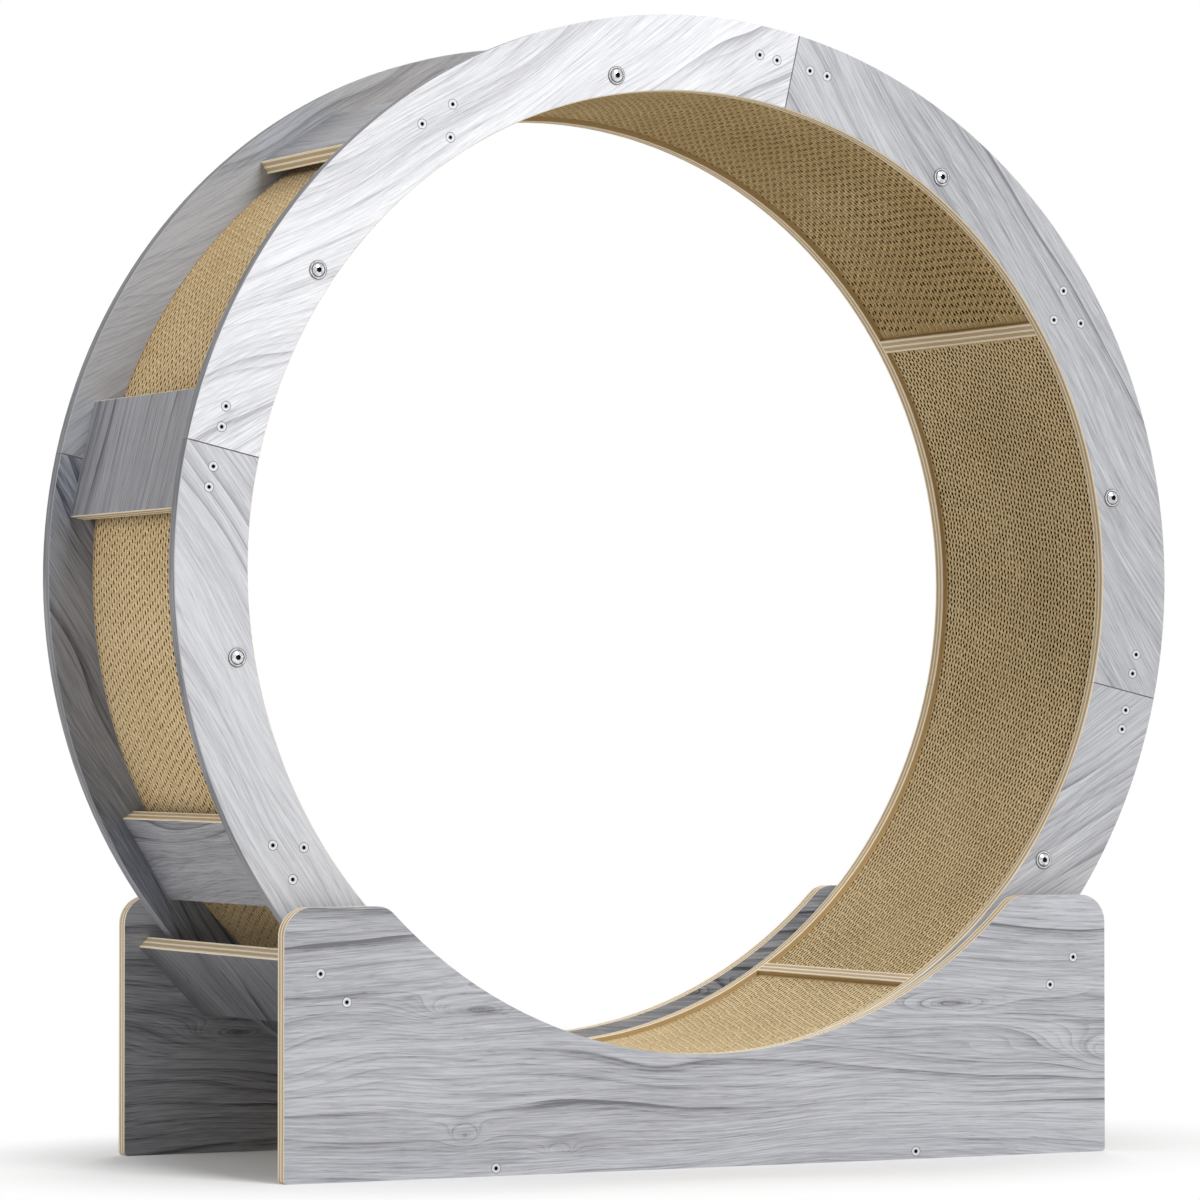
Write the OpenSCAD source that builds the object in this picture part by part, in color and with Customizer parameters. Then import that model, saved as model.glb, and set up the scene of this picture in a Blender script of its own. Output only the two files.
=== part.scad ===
// Cat exercise wheel: two plywood rings carry a corrugated cardboard running
// track and turn on four small rollers sunk in the tilted boards of a low base.
// X runs along the base, Y from the front to the back, Z up. The origin is on
// the floor, under the middle of the base.

/* [Wheel rings] */
// Outer radius of the two side rings
wheel_r = 550; // [500:5:600]
// Width of a ring from its inner edge to its outer edge
ring_band = 75; // [72:1:90]
// Width of the wheel over the outer faces of both rings
wheel_w = 334; // [300:2:380]
// Thickness of every plywood board
ply_t = 15; // [12:0.5:16]
// Ease on the edges of the plywood
edge_ease = 0.8; // [0.4:0.1:1.5]
// Hairline left between two segments of a ring
seam_gap = 0.4; // [0.2:0.1:1]
// Angle of the first joint at rest, counter-clockwise from the right
first_joint_a = 77.3; // [60:0.1:89]

/* [Cross boards] */
// Distance from the outer edge of the rings to the middle of the flat boards
board_inset = 31; // [28:0.5:34]
// Width of the boards that bridge the joints
joint_board_w = 118; // [104:1:130]
// Width of the caps of the T-shaped boards
cap_board_w = 96; // [80:1:110]
// Distance between the two screws nearest the middle of a board
screw_pair = 38.4; // [30:0.2:42]
// Distance from those screws to the outer ones of a joint
screw_step = 19.9; // [14:0.1:22]

/* [Running track] */
// Depth of the track's surface below the inner edge of the rings
tread_recess = 5; // [3:0.5:7]
// Thickness of the corrugated cardboard
tread_t = 23; // [18:0.5:26]
// Pitch of the cardboard layers across the track
layer_pitch = 6.4; // [5:0.1:12]
// Depth of the open flutes along the edge of a layer
layer_groove = 1.6; // [0.8:0.1:3]

/* [Base] */
// How far the panels reach past the upper corners of the tilted boards
base_end = 15.1; // [6:0.1:40]
// Height of the side panels
base_h = 259; // [240:1:280]
// Gap between the floor and the rings
floor_gap = 28; // [22:1:40]
// Gap between a ring and the side panel beside it
side_gap = 21; // [17:0.5:30]
// How much the hollow of a panel is larger in radius than the hole of the rings
hollow_over = 3; // [0:0.5:10]
// Height of the hollow's centre above the wheel's centre
hollow_lift = 10; // [0:0.5:16]
// Radius of the outer top corners of a panel
corner_r = 28; // [15:1:40]
// Radius of the inner top corners of a panel
horn_r = 24; // [10:1:35]
// Radius of the bottom corners of a panel
foot_r = 4; // [2:0.5:8]
// Width of the tilted boards that hold the rollers
roller_board_w = 96; // [80:1:100]
// How far the screws of a tilted board sit above its middle, along the slope
roller_screw_shift = 5; // [0:0.5:8]
// Length of the board along the floor
floor_board_l = 536; // [400:2:560]
// Distance from the end of the floor board to its screw
floor_screw_inset = 36; // [20:1:60]

/* [Rollers] */
// Angle of the rollers from straight below the wheel
roller_a = 45; // [43:0.5:47]
// Diameter of a load roller over its tyre
roller_d = 16; // [14:0.5:17]
// Width of a load roller
roller_w = 12; // [10:0.5:13]
// Thickness of the tyre
tyre_t = 2; // [1.5:0.1:2.2]
// Diameter of the pin of a load roller
pin_d = 4; // [3:0.1:4.4]
// Length of that pin
pin_l = 26; // [22:0.5:28]
// Width of one ball bearing
bearing_w = 4; // [3:0.1:4.5]
// Thickness of the steel keeper plates
keeper_t = 1.5; // [1:0.1:2]
// Width of a keeper plate
keeper_w = 30; // [26:1:36]
// Radius of the guide rollers that keep the wheel in line
guide_r = 13.2; // [11:0.1:14]
// Thickness of the guide rollers
guide_t = 9; // [7:0.5:10]
// Diameter of the bolts of the guide rollers
guide_bolt_d = 5; // [4:0.1:6]

/* [Fasteners] */
// Diameter of the heads of the wood screws
screw_head_d = 10; // [8:0.1:11]
// Diameter of the shanks of the wood screws
screw_shank_d = 5; // [4:0.1:6]
// Length of the wood screws
screw_l = 45; // [36:1:55]
// Width across flats of the sockets of the wood screws
screw_hex = 3.4; // [2.5:0.1:4]
// Diameter of the domed cap bolts
cap_d = 18; // [15:0.1:20]
// Height of the domed head above the ring
cap_h = 3.4; // [2.5:0.1:5]
// Width across flats of the sockets of the cap bolts
cap_hex = 5; // [4:0.1:6]
// Diameter of the sleeve of a cap bolt
sleeve_d = 9; // [8.4:0.1:10]
// Diameter of the tie rods
rod_d = 6; // [5:0.1:7]

/* [Clearances] */
// Clearance around screws and rods in their holes
screw_fit = 0.1; // [0.05:0.01:0.3]
// Radial clearance of a turning part on its pin
run_fit = 0.06; // [0.03:0.01:0.1]
// Running gap between the rings and the load rollers
roller_gap = 0.3; // [0.2:0.05:0.5]
// Gap between the cardboard and the wood around it
tread_fit = 0.4; // [0.2:0.1:1]
// Gap between a ring and its guide roller
guide_gap = 0.8; // [0.5:0.1:1]
// Gap around a roller in its pocket
pocket_gap = 0.8; // [0.6:0.1:1]

/* [Hidden] */

FRONT = -1;
REAR = 1;
LEFT = -1;
RIGHT = 1;
large_fn = 180;
small_fn = 48;
cut_over = 1;

quarter_a = 90;
half_quarter_a = quarter_a / 2;
cap_bolt_a = quarter_a / 4;
axle_z = floor_gap + wheel_r;
ring_in_r = wheel_r - ring_band;
inner_w = wheel_w - 2 * ply_t;
ring_mid_y = wheel_w / 2 - ply_t / 2;
board_line_r = wheel_r - board_inset;
cap_in_r = board_line_r - ply_t / 2;
stem_line_r = (ring_in_r + cap_in_r) / 2;
tread_in_r = ring_in_r + tread_recess;
tread_out_r = tread_in_r + tread_t;
tread_w = inner_w - 2 * tread_fit;
seam_a = 2 * asin(seam_gap / (2 * wheel_r));

panel_in_y = wheel_w / 2 + side_gap;
panel_out_y = panel_in_y + ply_t;
panel_mid_y = panel_in_y + ply_t / 2;
hollow_r = ring_in_r + hollow_over;
hollow_z = axle_z + hollow_lift;
horn_x = sqrt(pow(hollow_r + horn_r, 2) - pow(hollow_z - base_h + horn_r, 2));

roller_line_r = wheel_r + roller_gap + roller_d / 2;
board_face_r = roller_line_r - pin_d / 2;
roller_board_mid_r = board_face_r + ply_t / 2;
board_back_r = board_face_r + ply_t;
base_l = 2 * (board_back_r * sin(roller_a) + roller_board_w / 2 * cos(roller_a) + base_end);
pocket_half_w = roller_d / 2 + pocket_gap;
pocket_half_l = roller_w / 2 + pocket_gap;
keeper_top_r = board_face_r - keeper_t;
keeper_corner_r = 3;
guide_y = wheel_w / 2 - ply_t - guide_gap - guide_r;
guide_inset = 9;
guide_in_r = wheel_r - guide_inset;
guide_out_r = guide_in_r + guide_t;
washer_t = 1;
washer_share = 2;
nut_flats_share = 1.6;
nut_height_share = 0.8;
spacer_share = 1.8;
washer_d = guide_bolt_d * washer_share;
nut_af = guide_bolt_d * nut_flats_share;
nut_t = guide_bolt_d * nut_height_share;
spacer_d = guide_bolt_d * spacer_share;
nut_in_r = guide_in_r - washer_t - nut_t;
bolt_end_r = nut_in_r - washer_t;
guide_ease = 1;
keeper_end_gap = 4;
keeper_out_y = panel_in_y - keeper_end_gap;
keeper_in_y = guide_y - keeper_w / 2;
keeper_screw_d = 3.4;
keeper_screw_l = 12;
keeper_head_d = 6.6;
keeper_head_t = 2;
keeper_screw_inset = 5;
keeper_side_inset = 7;
keeper_screw_y = keeper_out_y - keeper_screw_inset;
keeper_screw_t = keeper_w / 2 - keeper_side_inset;
bearing_d = roller_d - 2 * tyre_t;
race_in_share = 1.5;
race_in_d = pin_d * race_in_share;
race_wall = 1;
shield_t = 0.4;

screw_head_h = (screw_head_d - screw_shank_d) / 2;
screw_rim = 0.4;
screw_tip = screw_shank_d / 2;
socket_share = 1.2;
screw_socket = screw_head_h * socket_share;
flange_share = 0.33;
dome_share = 0.74;
cap_socket_share = 0.7;
cap_flange_t = cap_h * flange_share;
cap_dome_r = cap_d / 2 * dome_share;
cap_socket = cap_h * cap_socket_share;
sleeve_end_gap = 1;
sleeve_l = ply_t - sleeve_end_gap;
sleeve_floor_t = 1;
rod_end_gap = 1;
rod_l = wheel_w - 2 * (sleeve_floor_t + rod_end_gap);
groove_land_share = 0.25;

function joint_a(i) = first_joint_a + (i - 1) * quarter_a;
function cap_board_a(i) = joint_a(i) + half_quarter_a;

// Places of the screws that enter one quarter of a ring: angle, radius, and offset along the tangent.
function quarter_screws(i) = [
  for (step = [0, screw_step]) each [
    [joint_a(i), board_line_r, screw_pair / 2 + step],
    [joint_a(i) + quarter_a, board_line_r, -screw_pair / 2 - step]
  ],
  [cap_board_a(i), board_line_r, screw_pair / 2],
  [cap_board_a(i), board_line_r, -screw_pair / 2],
  [cap_board_a(i), stem_line_r, 0]
];

// Turns its children to an angle of the wheel: X then runs outward, Z along the tangent, Y along the axle.
module at_angle(a) {
  translate([0, 0, axle_z]) rotate([0, -a, 0]) children();
}

// Stands its children on the front or the rear face at a distance face_y, with Z pointing into the wood.
module into_face(side, face_y) {
  translate([0, side * face_y, 0]) rotate([side * quarter_a, 0, 0]) children();
}

// Turns its children to a tilted board: X runs away from the axle, Z along the tangent.
module at_roller_board(end) {
  at_angle(-quarter_a + end * roller_a) children();
}

module y_cylinder(r, y_from, y_to, fn = small_fn) {
  translate([0, y_from, 0]) rotate([-quarter_a, 0, 0]) cylinder(r = r, h = y_to - y_from, $fn = fn);
}

module x_cylinder(r, x_from, x_to, fn = small_fn) {
  translate([x_from, 0, 0]) rotate([0, quarter_a, 0]) cylinder(r = r, h = x_to - x_from, $fn = fn);
}

// A flat board whose long edges are eased, centred, with its thickness along X and its length along Y.
module flat_board(width, length) {
  x = ply_t / 2;
  z = width / 2;
  e = edge_ease;
  rotate([quarter_a, 0, 0])
    linear_extrude(height = length, center = true)
      polygon([[-x, -z + e], [-x + e, -z], [x - e, -z], [x, -z + e],
               [x, z - e], [x - e, z], [-x + e, z], [-x, z - e]]);
}

// The solid of a countersunk screw, or of the hole that it takes when fit is more than zero.
module countersunk(length, fit = 0) {
  head = screw_head_d / 2 + fit;
  shank = screw_shank_d / 2 + fit;
  rim = fit > 0 ? -cut_over : 0;
  rotate_extrude($fn = small_fn)
    polygon([[0, rim], [head, rim], [head, screw_rim], [shank, screw_rim + screw_head_h],
             [shank, length - screw_tip + fit], [screw_tip / 2, length + fit], [0, length + fit]]);
}

module wood_screw() {
  color("silver")
    difference() {
      countersunk(screw_l);
      translate([0, 0, -cut_over])
        cylinder(d = screw_hex / cos(30), h = screw_socket + cut_over, $fn = 6);
    }
}

// A quarter of a side ring, with its countersunk holes and the bores of its two cap bolts.
module ring_quarter(i, side) {
  x_in = ring_in_r;
  x_out = wheel_r;
  y_a = -ply_t / 2;
  y_b = ply_t / 2;
  e = edge_ease;
  color("gainsboro")
    difference() {
      translate([0, side * ring_mid_y, 0])
        at_angle(joint_a(i) + seam_a / 2)
          rotate([quarter_a, 0, 0])
            rotate_extrude(angle = quarter_a - seam_a, $fn = large_fn)
              polygon([[x_in + e, y_a], [x_out - e, y_a], [x_out, y_a + e], [x_out, y_b - e],
                       [x_out - e, y_b], [x_in + e, y_b], [x_in, y_b - e], [x_in, y_a + e]]);
      for (s = quarter_screws(i))
        at_angle(s[0]) translate([s[1], 0, s[2]]) into_face(side, wheel_w / 2) countersunk(screw_l, screw_fit);
      for (k = [1, 3])
        at_angle(joint_a(i) + k * cap_bolt_a) translate([stem_line_r, 0, 0])
          y_cylinder(sleeve_d / 2 + screw_fit, side * ring_mid_y - ply_t, side * ring_mid_y + ply_t);
    }
}

module joint_board(i) {
  color("slategray")
    at_angle(joint_a(i))
      difference() {
        translate([board_line_r, 0, 0]) flat_board(joint_board_w, inner_w);
        for (side = [FRONT, REAR], hand = [-1, 1], step = [0, screw_step])
          translate([board_line_r, 0, hand * (screw_pair / 2 + step)])
            into_face(side, wheel_w / 2) countersunk(screw_l, screw_fit);
      }
}

module cap_board(i) {
  color("slategray")
    at_angle(cap_board_a(i))
      difference() {
        translate([board_line_r, 0, 0]) flat_board(cap_board_w, inner_w);
        for (side = [FRONT, REAR], hand = [-1, 1])
          translate([board_line_r, 0, hand * screw_pair / 2])
            into_face(side, wheel_w / 2) countersunk(screw_l, screw_fit);
      }
}

module stem_board(i) {
  color("burlywood")
    at_angle(cap_board_a(i))
      difference() {
        translate([stem_line_r, 0, 0]) rotate([0, quarter_a, 0]) flat_board(cap_in_r - ring_in_r, inner_w);
        for (side = [FRONT, REAR])
          translate([stem_line_r, 0, 0]) into_face(side, wheel_w / 2) countersunk(screw_l, screw_fit);
      }
}

// The section of the track: its inner edge is a comb of grooves, one for each open layer of flutes.
module tread_section() {
  layers = floor(tread_w / layer_pitch);
  side_land = (tread_w - layers * layer_pitch) / 2;
  land = layer_pitch * groove_land_share;
  comb = [
    for (n = [0 : layers - 1])
      let (y = -tread_w / 2 + side_land + n * layer_pitch)
        each [[tread_in_r, y + land], [tread_in_r + layer_groove, y + land],
              [tread_in_r + layer_groove, y + layer_pitch - land], [tread_in_r, y + layer_pitch - land]]
  ];
  polygon(concat([[tread_out_r, -tread_w / 2], [tread_in_r, -tread_w / 2]], comb,
                 [[tread_in_r, tread_w / 2], [tread_out_r, tread_w / 2]]));
}

// A quarter of the running track, centred on a joint and ending beside the stem boards.
module tread(i) {
  side_x = ply_t / 2 + tread_fit;
  color("tan")
    at_angle(joint_a(i) - half_quarter_a)
      difference() {
        intersection() {
          rotate([quarter_a, 0, 0]) rotate_extrude(angle = quarter_a, $fn = large_fn) tread_section();
          translate([side_x, -wheel_w / 2, side_x]) cube([wheel_r, wheel_w, wheel_r]);
        }
        for (k = [1, 3])
          rotate([0, -k * cap_bolt_a, 0]) translate([stem_line_r, 0, 0])
            y_cylinder(rod_d / 2 + screw_fit, -wheel_w / 2, wheel_w / 2);
      }
}

module tie_rods() {
  color("silver")
    for (i = [1 : 4], k = [1, 3])
      at_angle(joint_a(i) + k * cap_bolt_a)
        translate([stem_line_r, 0, 0]) y_cylinder(rod_d / 2, -rod_l / 2, rod_l / 2);
}

// A domed bolt with a flange, a hexagon socket, and a sleeve that takes the end of a tie rod.
module cap_bolt() {
  dome_h = cap_h - cap_flange_t;
  ball_r = (pow(cap_dome_r, 2) + pow(dome_h, 2)) / (2 * dome_h);
  difference() {
    union() {
      translate([0, 0, -cap_flange_t]) cylinder(d = cap_d, h = cap_flange_t, $fn = small_fn);
      intersection() {
        translate([0, 0, ball_r - cap_h]) sphere(r = ball_r, $fn = small_fn);
        translate([0, 0, -cap_h]) cylinder(r = cap_dome_r, h = cap_h, $fn = small_fn);
      }
      cylinder(d = sleeve_d, h = sleeve_l, $fn = small_fn);
    }
    translate([0, 0, -cap_h - cut_over])
      cylinder(d = cap_hex / cos(30), h = cap_socket + cut_over, $fn = 6);
    translate([0, 0, sleeve_floor_t])
      cylinder(d = rod_d + 2 * screw_fit, h = sleeve_l, $fn = small_fn);
  }
}

module cap_bolts(side) {
  color("silver")
    for (i = [1 : 4], k = [1, 3])
      at_angle(joint_a(i) + k * cap_bolt_a)
        translate([stem_line_r, 0, 0]) into_face(side, wheel_w / 2) cap_bolt();
}

module ring_screws(side) {
  for (i = [1 : 4], s = quarter_screws(i))
    at_angle(s[0]) translate([s[1], 0, s[2]]) into_face(side, wheel_w / 2) wood_screw();
}

// The outline of a side panel: a low block with round corners and a hollow that follows the wheel.
module panel_outline() {
  x = base_l / 2;
  horn_z = base_h - horn_r;
  reach = hollow_r / (hollow_r + horn_r);
  difference() {
    union() {
      translate([-x, foot_r]) square([base_l, base_h - foot_r - corner_r]);
      translate([-x + foot_r, 0]) square([base_l - 2 * foot_r, foot_r]);
      translate([-x + corner_r, base_h - corner_r]) square([base_l - 2 * corner_r, corner_r]);
      for (end = [LEFT, RIGHT]) {
        translate([end * (x - corner_r), base_h - corner_r]) circle(r = corner_r, $fn = small_fn);
        translate([end * (x - foot_r), foot_r]) circle(r = foot_r, $fn = small_fn);
      }
    }
    translate([0, hollow_z]) circle(r = hollow_r, $fn = large_fn);
    for (end = [LEFT, RIGHT])
      polygon([[end * horn_x, horn_z], [end * horn_x, base_h + cut_over],
               [end * (horn_x - 2 * horn_r), base_h + cut_over],
               [end * horn_x * reach, hollow_z - (hollow_z - horn_z) * reach]]);
  }
  for (end = [LEFT, RIGHT])
    translate([end * horn_x, horn_z]) circle(r = horn_r, $fn = small_fn);
}

// Puts its children at each screw of one side panel, with Z pointing into the wood.
module at_base_screws(side) {
  for (end = [LEFT, RIGHT]) {
    for (hand = [-1, 1])
      at_roller_board(end) translate([roller_board_mid_r, 0, end * roller_screw_shift + hand * screw_pair / 2])
        into_face(side, panel_out_y) children();
    translate([end * (floor_board_l / 2 - floor_screw_inset), 0, ply_t / 2])
      into_face(side, panel_out_y) children();
  }
}

module panel(side) {
  color("gainsboro")
    difference() {
      translate([0, side * panel_mid_y, 0])
        rotate([quarter_a, 0, 0]) linear_extrude(height = ply_t, center = true) panel_outline();
      at_base_screws(side) countersunk(screw_l, screw_fit);
    }
}

module base_screws(side) {
  at_base_screws(side) wood_screw();
}

// A tilted board with a pocket for each load roller, a groove for its pin and the holes of its keeper.
module roller_board(end) {
  color("dimgray")
    difference() {
      at_roller_board(end)
        difference() {
          translate([roller_board_mid_r, 0, 0]) flat_board(roller_board_w, 2 * panel_in_y);
          for (side = [FRONT, REAR]) {
            translate([board_face_r - cut_over, side * ring_mid_y - pocket_half_l, -pocket_half_w])
              cube([roller_line_r - board_face_r + pocket_half_w + cut_over,
                    2 * pocket_half_l, 2 * pocket_half_w]);
            pin_groove(side);
            translate([0, side * guide_y, 0]) guide_bolt_hole();
            at_keeper_screws(side)
              x_cylinder(keeper_screw_d / 2 + screw_fit, keeper_top_r, board_face_r + keeper_screw_l);
          }
        }
      for (side = [FRONT, REAR])
        at_base_screws(side) countersunk(screw_l, screw_fit);
    }
}

// The groove that a roller pin lies in, flush with the face of the board.
module pin_groove(side) {
  half_l = pin_l / 2 + screw_fit;
  half_w = pin_d / 2 + screw_fit;
  translate([roller_line_r, side * ring_mid_y, 0]) {
    y_cylinder(half_w, -half_l, half_l);
    translate([-pin_d / 2 - cut_over, -half_l, -half_w])
      cube([pin_d / 2 + cut_over, 2 * half_l, 2 * half_w]);
  }
}

// The through hole of a guide bolt, countersunk at the back of the board.
module guide_bolt_hole() {
  x_cylinder(guide_bolt_d / 2 + screw_fit, keeper_top_r - cut_over, board_back_r + cut_over);
  translate([board_back_r, 0, 0]) rotate([0, quarter_a, 0]) guide_head(screw_fit);
}

// The cone of a guide bolt's head, wide end up at zero, grown by fit.
module guide_head(fit = 0) {
  head = guide_bolt_d + fit;
  translate([0, 0, -guide_bolt_d / 2])
    cylinder(r1 = guide_bolt_d / 2 + fit, r2 = head, h = guide_bolt_d / 2, $fn = small_fn);
  if (fit > 0)
    cylinder(r = head, h = cut_over, $fn = small_fn);
}

module at_keeper_screws(side) {
  for (hand = [-1, 1])
    translate([0, side * keeper_screw_y, hand * keeper_screw_t]) children();
}

module floor_board() {
  color("dimgray")
    difference() {
      translate([0, 0, ply_t / 2]) rotate([0, quarter_a, 0]) flat_board(floor_board_l, 2 * panel_in_y);
      for (side = [FRONT, REAR])
        at_base_screws(side) countersunk(screw_l, screw_fit);
    }
}

module at_rollers() {
  for (end = [LEFT, RIGHT], side = [FRONT, REAR])
    at_roller_board(end) translate([roller_line_r, side * ring_mid_y, 0]) children();
}

module roller_pins() {
  color("silver") at_rollers() y_cylinder(pin_d / 2, -pin_l / 2, pin_l / 2);
}

// A flat ring around the axle direction, from y_from to y_to.
module ring_tube(r_out, r_in, y_from, y_to) {
  difference() {
    y_cylinder(r_out, y_from, y_to);
    y_cylinder(r_in, y_from - cut_over, y_to + cut_over);
  }
}

module bearing_inner_rings() {
  color("silver")
    at_rollers()
      for (hand = [-1, 1])
        translate([0, hand * (roller_w - bearing_w) / 2, 0])
          ring_tube(race_in_d / 2, pin_d / 2 + run_fit, -bearing_w / 2, bearing_w / 2);
}

module bearing_spacers() {
  color("silver")
    at_rollers()
      ring_tube(race_in_d / 2, pin_d / 2 + run_fit, bearing_w - roller_w / 2, roller_w / 2 - bearing_w);
}

// The two outer rings of a load roller's bearings, each closed by thin shields.
module roller_races(end, side) {
  color("silver")
    at_roller_board(end) translate([roller_line_r, side * ring_mid_y, 0])
      for (hand = [-1, 1])
        translate([0, hand * (roller_w - bearing_w) / 2, 0])
          difference() {
            y_cylinder(bearing_d / 2, -bearing_w / 2, bearing_w / 2);
            y_cylinder(race_in_d / 2 + run_fit, -bearing_w, bearing_w);
            y_cylinder(bearing_d / 2 - race_wall, shield_t - bearing_w / 2, bearing_w / 2 - shield_t);
          }
}

module roller_tyre(end, side) {
  color("whitesmoke")
    at_roller_board(end) translate([roller_line_r, side * ring_mid_y, 0])
      ring_tube(roller_d / 2, bearing_d / 2, -roller_w / 2, roller_w / 2);
}

// The outline of a keeper plate, with round corners, from its inner end to its outer end.
module keeper_outline() {
  c = keeper_corner_r;
  half = keeper_w / 2;
  for (y = [keeper_in_y + c, keeper_out_y - c], z = [c - half, half - c])
    translate([y, z]) circle(r = c, $fn = small_fn);
  translate([keeper_in_y + c, -half]) square([keeper_out_y - keeper_in_y - 2 * c, keeper_w]);
  translate([keeper_in_y, c - half]) square([keeper_out_y - keeper_in_y, keeper_w - 2 * c]);
}

// Steel plates that hold the pins down, with a window for the roller and holes for bolt and screws.
module keeper_plates() {
  color("silver")
    for (end = [LEFT, RIGHT], side = [FRONT, REAR])
      at_roller_board(end)
        difference() {
          translate([keeper_top_r, 0, 0])
            scale([1, side, 1])
              rotate([quarter_a, 0, quarter_a]) linear_extrude(height = keeper_t) keeper_outline();
          translate([keeper_top_r - cut_over, side * ring_mid_y - pocket_half_l, -pocket_half_w])
            cube([keeper_t + 2 * cut_over, 2 * pocket_half_l, 2 * pocket_half_w]);
          translate([0, side * guide_y, 0])
            x_cylinder(guide_bolt_d / 2 + screw_fit, keeper_top_r - cut_over, board_face_r + cut_over);
          at_keeper_screws(side)
            x_cylinder(keeper_screw_d / 2 + screw_fit, keeper_top_r - cut_over, board_face_r + cut_over);
        }
}

module keeper_screws() {
  color("silver")
    for (end = [LEFT, RIGHT], side = [FRONT, REAR])
      at_roller_board(end)
        at_keeper_screws(side) {
          x_cylinder(keeper_head_d / 2, keeper_top_r - keeper_head_t, keeper_top_r);
          x_cylinder(keeper_screw_d / 2, keeper_top_r, board_face_r + keeper_screw_l - screw_fit);
        }
}

module at_guides() {
  for (end = [LEFT, RIGHT], side = [FRONT, REAR])
    at_roller_board(end) translate([0, side * guide_y, 0]) children();
}

module guide_bolts() {
  color("silver")
    at_guides()
      difference() {
        union() {
          x_cylinder(guide_bolt_d / 2, bolt_end_r, board_back_r);
          translate([board_back_r, 0, 0]) rotate([0, quarter_a, 0]) guide_head();
        }
        x_cylinder(screw_hex / 2 / cos(30), board_back_r - guide_bolt_d / 2, board_back_r + cut_over, 6);
      }
}

// A tube around a guide bolt, from x_from to x_to.
module guide_tube(r_out, x_from, x_to, fit) {
  difference() {
    x_cylinder(r_out, x_from, x_to);
    x_cylinder(guide_bolt_d / 2 + fit, x_from - cut_over, x_to + cut_over);
  }
}

module guide_spacers() {
  color("silver")
    at_guides() guide_tube(spacer_d / 2, guide_out_r + roller_gap, keeper_top_r, screw_fit);
}

module guide_washers() {
  color("silver")
    at_guides() guide_tube(washer_d / 2, guide_in_r - washer_t, guide_in_r - roller_gap, screw_fit);
}

module guide_nuts() {
  color("silver")
    at_guides()
      difference() {
        x_cylinder(nut_af / 2 / cos(30), nut_in_r, guide_in_r - washer_t, 6);
        x_cylinder(guide_bolt_d / 2 + screw_fit, nut_in_r - cut_over, guide_in_r);
      }
}

// A nylon disc with eased rims that turns on its bolt.
module guide_roller(end, side) {
  bore_r = guide_bolt_d / 2 + run_fit;
  color("whitesmoke")
    at_roller_board(end) translate([guide_in_r, side * guide_y, 0])
      rotate([0, quarter_a, 0])
        rotate_extrude($fn = small_fn)
          polygon([[bore_r, 0], [guide_r - guide_ease, 0], [guide_r, guide_ease],
                   [guide_r, guide_t - guide_ease], [guide_r - guide_ease, guide_t], [bore_r, guide_t]]);
}

ring_quarter(1, FRONT);  // front_ring_1
ring_quarter(2, FRONT);  // front_ring_2
ring_quarter(3, FRONT);  // front_ring_3
ring_quarter(4, FRONT);  // front_ring_4
ring_quarter(1, REAR);  // rear_ring_1
ring_quarter(2, REAR);  // rear_ring_2
ring_quarter(3, REAR);  // rear_ring_3
ring_quarter(4, REAR);  // rear_ring_4
joint_board(1);  // joint_board_1
joint_board(2);  // joint_board_2
joint_board(3);  // joint_board_3
joint_board(4);  // joint_board_4
cap_board(1);  // cap_board_1
cap_board(2);  // cap_board_2
cap_board(3);  // cap_board_3
cap_board(4);  // cap_board_4
stem_board(1);  // stem_board_1
stem_board(2);  // stem_board_2
stem_board(3);  // stem_board_3
stem_board(4);  // stem_board_4
tread(1);  // tread_1
tread(2);  // tread_2
tread(3);  // tread_3
tread(4);  // tread_4
tie_rods();
cap_bolts(FRONT);  // front_cap_bolts
cap_bolts(REAR);  // rear_cap_bolts
ring_screws(FRONT);  // front_ring_screws
ring_screws(REAR);  // rear_ring_screws
panel(FRONT);  // front_panel
panel(REAR);  // rear_panel
roller_board(LEFT);  // left_roller_board
roller_board(RIGHT);  // right_roller_board
floor_board();
base_screws(FRONT);  // front_base_screws
base_screws(REAR);  // rear_base_screws
roller_pins();
bearing_inner_rings();
bearing_spacers();
keeper_plates();
keeper_screws();
guide_bolts();
guide_spacers();
guide_washers();
guide_nuts();
roller_tyre(LEFT, FRONT);  // front_left_roller_tyre
roller_tyre(RIGHT, FRONT);  // front_right_roller_tyre
roller_tyre(LEFT, REAR);  // rear_left_roller_tyre
roller_tyre(RIGHT, REAR);  // rear_right_roller_tyre
roller_races(LEFT, FRONT);  // front_left_roller_races
roller_races(RIGHT, FRONT);  // front_right_roller_races
roller_races(LEFT, REAR);  // rear_left_roller_races
roller_races(RIGHT, REAR);  // rear_right_roller_races
guide_roller(LEFT, FRONT);  // front_left_guide_roller
guide_roller(RIGHT, FRONT);  // front_right_guide_roller
guide_roller(LEFT, REAR);  // rear_left_guide_roller
guide_roller(RIGHT, REAR);  // rear_right_guide_roller
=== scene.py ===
"""Looks of the cat exercise wheel: grey wood-print plywood, corrugated cardboard and steel fittings."""

import math

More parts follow.
